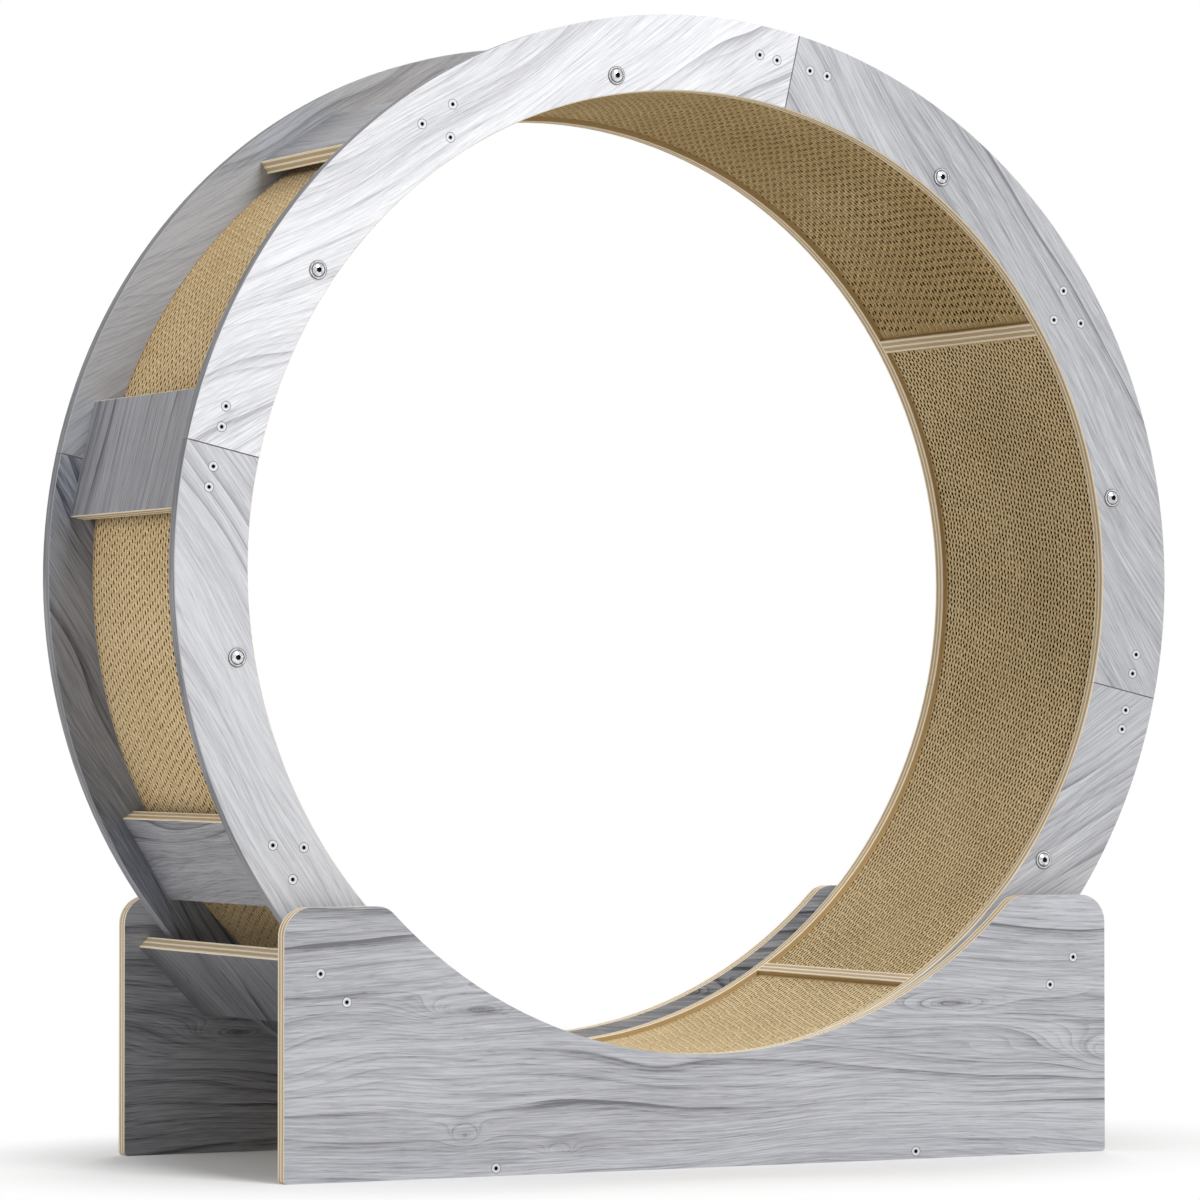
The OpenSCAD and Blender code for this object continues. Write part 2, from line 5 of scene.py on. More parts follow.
import bmesh
import bpy
import numpy as np
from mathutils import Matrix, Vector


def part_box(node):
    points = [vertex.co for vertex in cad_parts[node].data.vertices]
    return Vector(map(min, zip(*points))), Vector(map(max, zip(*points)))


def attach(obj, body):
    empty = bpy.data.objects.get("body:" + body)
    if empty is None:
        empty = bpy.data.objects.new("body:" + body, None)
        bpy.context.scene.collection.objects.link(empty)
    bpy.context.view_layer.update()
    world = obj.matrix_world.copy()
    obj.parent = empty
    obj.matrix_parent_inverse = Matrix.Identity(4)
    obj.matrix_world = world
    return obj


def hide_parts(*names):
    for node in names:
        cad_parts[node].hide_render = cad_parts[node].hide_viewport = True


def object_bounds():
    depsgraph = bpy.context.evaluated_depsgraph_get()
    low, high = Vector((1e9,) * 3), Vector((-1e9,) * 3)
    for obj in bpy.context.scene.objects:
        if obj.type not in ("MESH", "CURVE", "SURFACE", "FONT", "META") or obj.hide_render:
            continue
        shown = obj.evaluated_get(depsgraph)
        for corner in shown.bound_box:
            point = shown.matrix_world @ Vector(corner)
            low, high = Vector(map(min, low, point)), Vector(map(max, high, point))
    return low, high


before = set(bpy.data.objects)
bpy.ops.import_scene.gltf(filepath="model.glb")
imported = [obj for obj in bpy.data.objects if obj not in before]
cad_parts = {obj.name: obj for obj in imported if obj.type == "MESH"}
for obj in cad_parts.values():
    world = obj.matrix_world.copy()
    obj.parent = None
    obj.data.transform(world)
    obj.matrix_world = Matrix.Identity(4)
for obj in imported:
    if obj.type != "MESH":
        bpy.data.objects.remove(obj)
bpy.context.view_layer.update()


# Camera and studio.
# The camera stands low and to the left of the front, with a long lens. A white room lights the wheel
# softly, with a large lamp high at the front and weaker ones straight at the left and behind the right.
CAMERA_PLACE = (-2.5964, -5.0103, 0.4339)
CAMERA_UP_DEG = 1.24
CAMERA_TURN_DEG = 27.25
CAMERA_LENS_MM = 168.1
CAMERA_SENSOR_MM = 36.0
ROOM_LEVEL = 0.37
FLOOR_HALF = 14.0
FLOOR_SEEN, FLOOR_BOUNCE = 0.93, 0.80
FADE_FROM, FADE_TO = 0.36, 0.68
FADE_SHAPE = (0.85, 1.2, 1)

camera = bpy.data.objects.new("camera", bpy.data.cameras.new("camera"))
camera.data.sensor_width = CAMERA_SENSOR_MM
camera.data.lens = CAMERA_LENS_MM
camera.data.clip_end = 100
camera.location = CAMERA_PLACE
camera.rotation_euler = (math.radians(90 + CAMERA_UP_DEG), 0, math.radians(-CAMERA_TURN_DEG))
bpy.context.scene.collection.objects.link(camera)
bpy.context.scene.camera = camera
bpy.context.scene.view_settings.view_transform = "Standard"


def put(tree, kind, values=(), **settings):
    """Adds a node of that kind. settings are its own properties; values pairs a socket's name or number
    with a value, or with another node's socket to link."""
    made = tree.nodes.new(kind)
    for name, value in settings.items():
        setattr(made, name, value)
    for socket, value in dict(values).items():
        if isinstance(value, bpy.types.NodeSocket):
            tree.links.new(value, made.inputs[socket])
        else:
            made.inputs[socket].default_value = value
    return made


def calc(tree, operation, a, b=0.0, c=0.0, clamp=False):
    """One step of arithmetic on numbers that change over the surface."""
    return put(tree, "ShaderNodeMath", {0: a, 1: b, 2: c}, operation=operation, use_clamp=clamp).outputs[0]


def ramp_between(tree, value, low, high):
    """0 below low, 1 above high, and a smooth step between them."""
    return put(tree, "ShaderNodeMapRange", {"Value": value, "From Min": low, "From Max": high},
               interpolation_type="SMOOTHSTEP").outputs[0]


def seen_directly(tree):
    """1 for rays from the camera, a mirror or glass, which see the white room."""
    path = put(tree, "ShaderNodeLightPath")
    glossy = calc(tree, "MAXIMUM", path.outputs["Is Camera Ray"], path.outputs["Is Glossy Ray"])
    return calc(tree, "MAXIMUM", glossy, path.outputs["Is Transmission Ray"])


room = bpy.data.worlds.new("white_room")
room.use_nodes = True
bpy.context.scene.world = room
room_level = calc(room.node_tree, "MULTIPLY_ADD", seen_directly(room.node_tree), 1 - ROOM_LEVEL, ROOM_LEVEL)
room.node_tree.links.new(room_level, room.node_tree.nodes["Background"].inputs["Strength"])
room.node_tree.nodes["Background"].inputs["Color"].default_value = (1, 1, 1, 1)

for lamp_name, place, size, watts in (
    ("front_lamp", (0.6, -4.2, 4.0), 2.2, 192),
    ("left_lamp", (-5.2, 0.3, 2.2), 2.0, 60),
    ("back_lamp", (2.6, 4.4, 3.2), 2.2, 100),
):
    lamp = bpy.data.objects.new(lamp_name, bpy.data.lights.new(lamp_name, "AREA"))
    lamp.data.size = size
    lamp.data.energy = watts
    lamp.location = place
    aim = -lamp.location + (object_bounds()[0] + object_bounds()[1]) / 2
    lamp.rotation_euler = aim.to_track_quat("-Z", "Y").to_euler()
    bpy.context.scene.collection.objects.link(lamp)

floor_mesh = bpy.data.meshes.new("floor")
floor_mesh.from_pydata([(-FLOOR_HALF, -FLOOR_HALF, 0), (FLOOR_HALF, -FLOOR_HALF, 0),
                        (FLOOR_HALF, FLOOR_HALF, 0), (-FLOOR_HALF, FLOOR_HALF, 0)], [], [(0, 1, 2, 3)])
floor = bpy.data.objects.new("floor", floor_mesh)
bpy.context.scene.collection.objects.link(floor)
floor_paint = bpy.data.materials.new("floor_paint")
floor_paint.use_nodes = True
tree = floor_paint.node_tree
tree.nodes.clear()
stretched = put(tree, "ShaderNodeVectorMath", {0: put(tree, "ShaderNodeNewGeometry").outputs["Position"],
                                               1: FADE_SHAPE}, operation="MULTIPLY").outputs[0]
distance = put(tree, "ShaderNodeVectorMath", {0: stretched}, operation="LENGTH").outputs["Value"]
far = calc(tree, "MULTIPLY", ramp_between(tree, distance, FADE_FROM, FADE_TO), seen_directly(tree))
tone = calc(tree, "MULTIPLY_ADD", seen_directly(tree), FLOOR_SEEN - FLOOR_BOUNCE, FLOOR_BOUNCE)
painted = put(tree, "ShaderNodeBsdfDiffuse", {"Color": tone}).outputs[0]
glowing = put(tree, "ShaderNodeEmission", {"Color": (1, 1, 1, 1), "Strength": 1.0}).outputs[0]
put(tree, "ShaderNodeOutputMaterial",
    {"Surface": put(tree, "ShaderNodeMixShader", {0: far, 1: painted, 2: glowing}).outputs[0]})
floor_mesh.materials.append(floor_paint)


# Side rings.
# Each ring is four plywood segments, butted end to end. Both faces carry a light grey wood print whose
# grain runs straight along the segment, the rim is edged in grey and the inner edge is raw. The faces that
# look in between the rings are painted darker, as painted shade, and the rim's corners lighter, as a
# painted highlight.
AXLE_Z = 0.578
RING_IN_R, RING_OUT_R = 0.475, 0.550
RING_INNER_Y, RING_OUTER_Y = 0.152, 0.167
FIRST_JOINT_DEG = 77.3
QUARTER_DEG = 90.0
# The (light, dark) tones of each segment, from the top left one round by the left.
RING_TONES = (
    ((0.895, 0.90, 0.925, 1), (0.40, 0.40, 0.43, 1)),
    ((0.69, 0.695, 0.72, 1), (0.34, 0.34, 0.365, 1)),
    ((0.59, 0.595, 0.62, 1), (0.24, 0.24, 0.26, 1)),
    ((0.585, 0.59, 0.615, 1), (0.19, 0.19, 0.21, 1)),
)
# The (light, dark) tones of each segment's inner face, which looks in between the rings: darker than the
# outer ones, as painted shade, and darkest on the lower left.
SHADED_INNER_TONES = (
    ((0.44, 0.45, 0.48, 1), (0.18, 0.185, 0.21, 1)),
    ((0.362, 0.382, 0.435, 1), (0.058, 0.063, 0.080, 1)),
    ((0.36, 0.365, 0.39, 1), (0.10, 0.10, 0.115, 1)),
    ((0.36, 0.365, 0.39, 1), (0.10, 0.10, 0.115, 1)),
)
RIM_LIGHT, RIM_DARK = (0.34, 0.34, 0.36, 1), (0.18, 0.18, 0.19, 1)
RIM_DEPTH = 0.0015
JOINT_TONE = (0.12, 0.12, 0.125, 1)
JOINT_HALF_GAP = 0.0006
# The lip's golden brown is partly a raw tone and partly painted shade of the recess by the card.
LIP_R, LIP_MARGIN, LIP_RAW_AND_SHADE_TONE = 0.4807, 0.0004, (0.48, 0.33, 0.15, 1)
PLY_PALE, PLY_TAN, PLY_GLUE = (0.98, 0.87, 0.66, 1), (0.46, 0.30, 0.135, 1), (0.11, 0.055, 0.02, 1)
PLY_COUNT = 5
FACE_SHARE, CORNER_SHARE = 0.015, 0.06
PRINT_ROUGHNESS, EDGE_ROUGHNESS = 0.44, 0.72
PRINT_RELIEF = 0.0004
# Cells of noise per metre along and across the grain, for each part of the print.
GRAIN_PER_M = {"sway": (1.3, 3.4), "bend": (1.9, 7.0), "fading": (2.2, 14.0), "broad": (1.4, 16),
               "streaks": (1.8, 150), "fibres": (22, 700), "pores": (48, 760), "flecks": (55, 900)}
SWAY_M, BEND_YEARS = 0.15, 6.0
YEARS_PER_M, FINE_YEARS = 48.0, 4.3
PRINT_LEVEL = 0.76
PRINT_STRENGTHS = {"broad": 0.85, "streaks": 0.90, "fibres": 1.40, "line": -0.95, "fine_line": -0.42,
                   "pores": -0.22, "flecks": 0.14}
KNOT_CORE_YEARS, KNOT_SHADE = (3.0, 4.6), -0.40
# The same for a raw edge, but across the grain per thickness of the board.
EDGE_PER_M = {"waver": (22, 1), "fleck": (260, 24), "patch": (9, 3)}
WAVER_PLIES = 0.35
# Where a tan veneer ends and the glue starts, from a veneer's middle, with the veneer's thickness as one.
TAN_PLIES, GLUE_PLIES = (0.44, 0.26), (0.39, 0.47)
TAN_SHARE, PATCH_SHARE, FLECK_LEVELS = 0.80, 0.12, (0.58, 0.84)
# How far the edge's pattern moves per metre along the two axes that lie in the board.
EDGE_RUN = (0.62, 0.78)
RIM_SCUFFS_PER_M, SCUFF_LEVELS, RIM_CORNER_HIGHLIGHT = (14, 260), (0.35, 0.70), 0.8


def group_of(name, inputs, outputs):
    """A shader node group with named sockets: numbers, or colours where the name ends in Color."""
    made = bpy.data.node_groups.new(name, "ShaderNodeTree")
    for way, names in (("INPUT", inputs), ("OUTPUT", outputs)):
        for socket in names:
            kind = "NodeSocketColor" if socket.endswith("Color") else "NodeSocketFloat"
            made.interface.new_socket(name=socket, in_out=way, socket_type=kind)
    return made, made.nodes.new("NodeGroupInput").outputs, made.nodes.new("NodeGroupOutput").inputs


def stretched_noise(tree, along, across, seed, per_m, detail=2.0, roughness=0.5):
    """Noise with per_m = (cells per metre along the grain, cells per metre across it)."""
    spot = put(tree, "ShaderNodeCombineXYZ", {0: calc(tree, "MULTIPLY", along, per_m[0]),
                                              1: calc(tree, "MULTIPLY", across, per_m[1]), 2: seed})
    return put(tree, "ShaderNodeTexNoise", {"Vector": spot.outputs[0], "Scale": 1.0, "Detail": detail,
                                            "Roughness": roughness}).outputs["Fac"]


def mixed(tree, factor, a, b):
    """Two colours mixed: a where factor is 0, b where it is 1."""
    return put(tree, "ShaderNodeMix", {0: factor, 6: a, 7: b}, data_type="RGBA").outputs[2]


# The wood print: the board is swayed sideways by a slow noise, and growth lines, streaks, fibres and short
# pores all follow that sway. Swell lifts the years round a knot, so that they close about it.
wood_print, given, result = group_of("wood_print", ["Along", "Across", "Swell", "Seed", "Light Color",
                                                    "Dark Color"], ["Color", "Height"])
along, seed = given["Along"], given["Seed"]


def print_noise(part, across, own_seed=seed, detail=2.0, roughness=0.5):
    """Noise of one part of the print."""
    return stretched_noise(wood_print, along, across, own_seed, GRAIN_PER_M[part], detail, roughness)


def about_zero(noise):
    """Noise moved so that its mean is zero."""
    return calc(wood_print, "SUBTRACT", noise, 0.5)


def growth_lines(years, sharpness):
    """One line a year. It darkens slowly, as the year's share to the power of sharpness, and ends sharply,
    and each year has its own strength."""
    year = calc(wood_print, "ADD", calc(wood_print, "FLOOR", years), seed)
    strength = put(wood_print, "ShaderNodeTexWhiteNoise", {"W": year}, noise_dimensions="1D").outputs["Value"]
    darkening = calc(wood_print, "POWER", calc(wood_print, "FRACT", years), sharpness)
    return calc(wood_print, "MULTIPLY", darkening, strength)


sway = about_zero(print_noise("sway", given["Across"]))
across = calc(wood_print, "MULTIPLY_ADD", sway, SWAY_M, given["Across"])
bend = about_zero(print_noise("bend", across))
years = calc(wood_print, "MULTIPLY_ADD", bend, BEND_YEARS,
             calc(wood_print, "MULTIPLY_ADD", across, YEARS_PER_M, given["Swell"]))
fading = ramp_between(wood_print, print_noise("fading", across, calc(wood_print, "ADD", seed, 3.1)),
                      0.36, 0.62)
parts = {
    "broad": about_zero(print_noise("broad", across)),
    "streaks": about_zero(print_noise("streaks", across, detail=5.0, roughness=0.66)),
    "fibres": about_zero(print_noise("fibres", across, detail=3.0, roughness=0.6)),
    "line": calc(wood_print, "MULTIPLY", growth_lines(years, 4.0), fading),
    "fine_line": growth_lines(calc(wood_print, "MULTIPLY", years, FINE_YEARS), 3.0),
    "pores": ramp_between(wood_print, print_noise("pores", across, detail=1.0), 0.62, 0.74),
    "flecks": ramp_between(wood_print, print_noise("flecks", across, detail=1.0), 0.38, 0.28),
}
tone = PRINT_LEVEL
for part, strength in PRINT_STRENGTHS.items():
    tone = calc(wood_print, "MULTIPLY_ADD", parts[part], strength, tone)
knot_core = ramp_between(wood_print, given["Swell"], *KNOT_CORE_YEARS)
tone = calc(wood_print, "MULTIPLY_ADD", knot_core, KNOT_SHADE, tone, clamp=True)
wood_print.links.new(mixed(wood_print, tone, given["Dark Color"], given["Light Color"]), result["Color"])
wood_print.links.new(calc(wood_print, "MULTIPLY_ADD", parts["pores"], -0.6, tone), result["Height"])

# The raw edge of plywood: pale and tan veneers in turn, with a thin dark line of glue between them. Depth
# goes from 0 to 1 through the board.
ply_edge, given, result = group_of("ply_edge", ["Depth", "Along", "Seed"], ["Color", "Height"])
waver = stretched_noise(ply_edge, given["Along"], 0.0, given["Seed"], EDGE_PER_M["waver"])
waver = calc(ply_edge, "MULTIPLY", calc(ply_edge, "SUBTRACT", waver, 0.5), WAVER_PLIES)
layer = calc(ply_edge, "MULTIPLY_ADD", given["Depth"], PLY_COUNT, waver)
number = calc(ply_edge, "FLOOR", layer)
from_middle = calc(ply_edge, "ABSOLUTE", calc(ply_edge, "SUBTRACT", calc(ply_edge, "FRACT", layer), 0.5))
crosswise = calc(ply_edge, "MODULO", calc(ply_edge, "ABSOLUTE", number), 2.0)
own_seed = calc(ply_edge, "MULTIPLY_ADD", number, 7.3, given["Seed"])
fleck = stretched_noise(ply_edge, given["Along"], given["Depth"], own_seed, EDGE_PER_M["fleck"], 3.0, 0.6)
patch = stretched_noise(ply_edge, given["Along"], given["Depth"], own_seed, EDGE_PER_M["patch"])
tan_part = calc(ply_edge, "MULTIPLY", crosswise, ramp_between(ply_edge, from_middle, *TAN_PLIES))
tan_share = calc(ply_edge, "MULTIPLY_ADD", tan_part, TAN_SHARE,
                 calc(ply_edge, "MULTIPLY", patch, PATCH_SHARE))
veneer = mixed(ply_edge, tan_share, PLY_PALE, PLY_TAN)
flecked = mixed(ply_edge, ramp_between(ply_edge, fleck, *FLECK_LEVELS), veneer, PLY_TAN)
glue = calc(ply_edge, "MULTIPLY", ramp_between(ply_edge, from_middle, *GLUE_PLIES),
            calc(ply_edge, "MULTIPLY_ADD", patch, 1.2, 0.35), clamp=True)
ply_edge.links.new(mixed(ply_edge, glue, flecked, PLY_GLUE), result["Color"])
ply_edge.links.new(calc(ply_edge, "SUBTRACT", calc(ply_edge, "MULTIPLY", fleck, 0.5), glue), result["Height"])


def knot_swell(tree, along, across, knots):
    """Years by which the growth lines are lifted round knots. A knot is (place along, place across, half
    length, half width, years at its middle), and its lift falls off as one over (1 + distance squared)."""
    total = 0.0
    for place_along, place_across, half_length, half_width, lift in knots:
        a = calc(tree, "DIVIDE", calc(tree, "SUBTRACT", along, place_along), half_length)
        b = calc(tree, "DIVIDE", calc(tree, "SUBTRACT", across, place_across), half_width)
        squared = calc(tree, "MULTIPLY_ADD", a, a, calc(tree, "MULTIPLY_ADD", b, b, 1.0))
        total = calc(tree, "ADD", calc(tree, "DIVIDE", lift, squared), total)
    return total


def plywood(name, turn_deg, thick, grain, seed, light, dark, centre_z=AXLE_Z, shaded_inner_tones=None, knots=()):
    """Printed plywood for one board. The board's own frame is turned by turn_deg about the axle: X outward,
    Y along the axle, Z along the tangent. thick = (axis, from, to) is the board's thickness there, and
    grain = (axis along the grain, axis across it). All points inside the thickness are raw edge, but for the
    rim of a ring, which is the board given tones for its inner face: darker ones, which are painted shade.
    The rim's grey edge is painted lighter at its corners, as a painted highlight. The 5 mm lip that stands
    proud of the card, between the rings, is painted golden brown, partly a raw tone and partly painted shade
    of the recess by the card. The pattern of a raw edge runs with both axes that lie in the board, so that it
    changes along every edge."""
    made = bpy.data.materials.new(name)
    made.use_nodes = True
    tree = made.node_tree
    local = put(tree, "ShaderNodeMapping", {"Vector": put(tree, "ShaderNodeTexCoord").outputs["Object"],
                                            "Location": (0, 0, centre_z),
                                            "Rotation": (0, -math.radians(turn_deg), 0)},
                vector_type="TEXTURE").outputs[0]
    axis = dict(zip("XYZ", put(tree, "ShaderNodeSeparateXYZ", {0: local}).outputs))
    along, across = axis[grain[0]], axis[grain[1]]
    from_middle = calc(tree, "ABSOLUTE", axis["Y"])
    through = from_middle if thick[0] == "Y" else axis[thick[0]]
    depth = calc(tree, "DIVIDE", calc(tree, "SUBTRACT", through, thick[1]), thick[2] - thick[1])
    inside = calc(tree, "MULTIPLY", calc(tree, "GREATER_THAN", depth, FACE_SHARE),
                  calc(tree, "LESS_THAN", depth, 1 - FACE_SHARE))
    # The inner face gets its own darker tones: painted shade between the rings.
    if shaded_inner_tones:
        outward = calc(tree, "GREATER_THAN", depth, 0.5)
        light, dark = (mixed(tree, outward, inner, tone) for inner, tone in zip(shaded_inner_tones, (light, dark)))
    face = put(tree, "ShaderNodeGroup", {"Along": along, "Across": across, "Seed": seed, "Light Color": light,
                                         "Dark Color": dark, "Swell": knot_swell(tree, along, across, knots)},
               node_tree=wood_print)
    first, second = (letter for letter in "XYZ" if letter != thick[0])
    run = calc(tree, "MULTIPLY_ADD", axis[first], EDGE_RUN[0],
               calc(tree, "MULTIPLY", axis[second], EDGE_RUN[1]))
    edge = put(tree, "ShaderNodeGroup", {"Depth": depth, "Along": run, "Seed": seed}, node_tree=ply_edge)
    face_color, edge_color = face.outputs["Color"], edge.outputs["Color"]
    flat = put(tree, "ShaderNodeCombineXYZ", {0: axis["X"], 1: axis["Z"]}).outputs[0]
    from_axle = put(tree, "ShaderNodeVectorMath", {0: flat}, operation="LENGTH").outputs["Value"]
    if shaded_inner_tones:
        on_rim = calc(tree, "GREATER_THAN", from_axle, RING_OUT_R - RIM_DEPTH)
        sweep = calc(tree, "MULTIPLY", calc(tree, "ARCTAN2", axis["Z"], axis["X"]), RING_OUT_R)
        scuff = stretched_noise(tree, sweep, axis["Y"], seed, RIM_SCUFFS_PER_M, 3.0)
        # The rim's corners take the face's light tone: a painted highlight on the edge.
        corner = calc(tree, "MAXIMUM", calc(tree, "LESS_THAN", depth, CORNER_SHARE),
                      calc(tree, "GREATER_THAN", depth, 1 - CORNER_SHARE))
        band = mixed(tree, ramp_between(tree, scuff, *SCUFF_LEVELS), RIM_DARK, RIM_LIGHT)
        band = mixed(tree, calc(tree, "MULTIPLY", corner, RIM_CORNER_HIGHLIGHT), band, light)
        edge_color = mixed(tree, on_rim, edge_color, band)
        from_joint = calc(tree, "SUBTRACT", axis["X"], calc(tree, "ABSOLUTE", axis["Z"]))
        at_joint = calc(tree, "LESS_THAN", from_joint, JOINT_HALF_GAP * math.sqrt(2))
        face_color = mixed(tree, at_joint, face_color, JOINT_TONE)
    # The lip next to the card is painted golden brown: partly painted shade of that recess.
    from_ring_edge = calc(tree, "ABSOLUTE", calc(tree, "SUBTRACT", from_axle, RING_IN_R))
    on_shaded_lip = calc(tree, "MULTIPLY", calc(tree, "LESS_THAN", from_ring_edge, LIP_R - RING_IN_R),
                  calc(tree, "LESS_THAN", from_middle, RING_INNER_Y + LIP_MARGIN))
    face_color = mixed(tree, on_shaded_lip, face_color, LIP_RAW_AND_SHADE_TONE)
    height = put(tree, "ShaderNodeMix", {0: inside, 2: face.outputs["Height"],
                                         3: edge.outputs["Height"]}).outputs[0]
    bump = put(tree, "ShaderNodeBump", {"Strength": 0.35, "Distance": PRINT_RELIEF, "Height": height})
    shader = tree.nodes["Principled BSDF"]
    tree.links.new(mixed(tree, inside, face_color, edge_color), shader.inputs["Base Color"])
    rough = calc(tree, "MULTIPLY_ADD", inside, EDGE_ROUGHNESS - PRINT_ROUGHNESS, PRINT_ROUGHNESS)
    tree.links.new(rough, shader.inputs["Roughness"])
    tree.links.new(bump.outputs[0], shader.inputs["Normal"])
    return made


def dress(node, material):
    """Gives a CAD node that material on its whole surface."""
    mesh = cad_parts[node].data
    mesh.materials.clear()
    mesh.materials.append(material)


for quarter in range(4):
    middle_deg = FIRST_JOINT_DEG + QUARTER_DEG * (quarter + 0.5)
    for side, shift in (("front", 0.0), ("rear", 40.0)):
        dress(f"{side}_ring_{quarter + 1}",
              plywood(f"{side}_ring_print_{quarter + 1}", middle_deg, ("Y", RING_INNER_Y, RING_OUTER_Y), "ZX",
                      2.7 * quarter + shift, *RING_TONES[quarter], shaded_inner_tones=SHADED_INNER_TONES[quarter]))


# Cross boards.
# Flat boards bridge the joints of the rings and T-shaped ones stand halfway between. The print runs round
# the wheel on the first and along the axle on the second. Their long edges are raw.
BOARD_LINE_R = 0.519
PLY_T = RING_OUTER_Y - RING_INNER_Y
# The boards' print is darker than the rings': painted shade, matched to the shaded joint board on the left.
BOARD_LIGHT, BOARD_DARK = (0.365, 0.365, 0.39, 1), (0.045, 0.045, 0.055, 1)

for quarter in range(4):
    joint_deg = FIRST_JOINT_DEG + QUARTER_DEG * quarter
    cap_deg = joint_deg + QUARTER_DEG / 2
    board_thick = ("X", BOARD_LINE_R - PLY_T / 2, BOARD_LINE_R + PLY_T / 2)
    for board, turn_deg, thick, grain, seed in (
        ("joint_board", joint_deg, board_thick, "ZY", 60 + 1.9 * quarter),
        ("cap_board", cap_deg, board_thick, "YZ", 70 + 2.3 * quarter),
        ("stem_board", cap_deg, ("Z", -PLY_T / 2, PLY_T / 2), "YX", 80 + 3.1 * quarter),
    ):
        dress(f"{board}_{quarter + 1}", plywood(f"{board}_print_{quarter + 1}", turn_deg, thick, grain, seed,
                                                BOARD_LIGHT, BOARD_DARK))


# Running track.
# Each quarter is a stack of corrugated board, cut to the curve, so that the open ends of its flutes show on
# both faces as rows of small pits. It is glued between the rings and rests on the tie rods.
TRACK_IN_R, TRACK_OUT_R = 0.480, 0.503
TRACK_HALF_W = 0.1516
TRACK_END_GAP = 0.0079
LAYER_PITCH, FLUTE_PITCH = 0.0064, 0.0097
PIT_DEPTH, PIT_DEPTH_SHARES = 0.0050, (0.75, 1.1)
PIT_WIDTH_SHARES, WORN_SHARE = (0.80, 1.15), 0.10
CRUSHED_PITS, CRUSHED_WIDTH_SHARE = 0.05, 0.45
WAVE_SHARE, SIDE_SHIFT = 0.30, 0.11
DRIFT_CELLS, SLIP_CELLS = 0.06, 0.04
BLANK_CELLS, FIRST_BLANK_CELLS = 1.4, 0.2
# For the inner and the outer face of the quarters, from the top one round by the left.
PITS_PER_WAVE = {"inner": (1, 1, 2, 2), "outer": (1, 1, 1, 1)}
LAYER_LEANS = {"inner": (0.05, 0.33, 0.40, 0.33), "outer": (0.22, 0.33, 0.30, 0.30)}
LEAN_SPREADS = {"inner": (0.03, 0.06, 0.12, 0.14), "outer": (0.05, 0.05, 0.05, 0.05)}
ZIGZAGS = {"inner": (0.09, 0.0, 0.0, 0.0), "outer": (0.04, 0.0, 0.0, 0.0)}
PIT_FORMS = {1: ((0.24, 0.34, 0.49, 0.64, 0.75), (0.07, 0.23, 0.27, 0.20, 0.06), (-1.0, -0.5, 0.5, 1.0)),
             2: ((0.09, 0.25, 0.75, 0.91), (0.08, 0.25, 0.25, 0.08), (-1.0, 0.0, 1.0))}
# The tones of the sheets' edges, of the card between them and of the pits. The pits' tones are painted
# shade, near black on the inner face and dark brown on the outer one, and the inner card is a little darker,
# as painted shade.
CARD_TONES = {"inner": ((0.90, 0.72, 0.44, 1), (0.36, 0.245, 0.097, 1), (0.020, 0.011, 0.002, 1)),
              "outer": ((0.90, 0.72, 0.45, 1), (0.44, 0.285, 0.110, 1), (0.32, 0.145, 0.020, 1))}
# Each quarter's stain level, where 1 is pale. On the inner face it is also painted light and shade: darkest
# on the top quarter, which faces down, palest on the bottom one, which faces up.
CARD_STAINS_AND_SHADE = {"inner": (-0.08, 0.38, 0.84, 0.44), "outer": (0.50, 0.42, 0.45, 0.45)}
# Where the sheets start and end: the flat one from a layer's middle, the waved one from its own line, both
# with the layer's width as one.
FLAT_SHEET, WAVED_SHEET = (0.36, 0.44), (0.15, 0.07)
PIT_EDGE = (0.0, 0.13)
PAPER_PER_M, STAINS_PER_M = 700.0, 9.0
PAPER_STRENGTH, SHEET_STRENGTH, STAIN_STRENGTH, CARD_SHADE = 2.0, 0.85, 0.8, -0.20


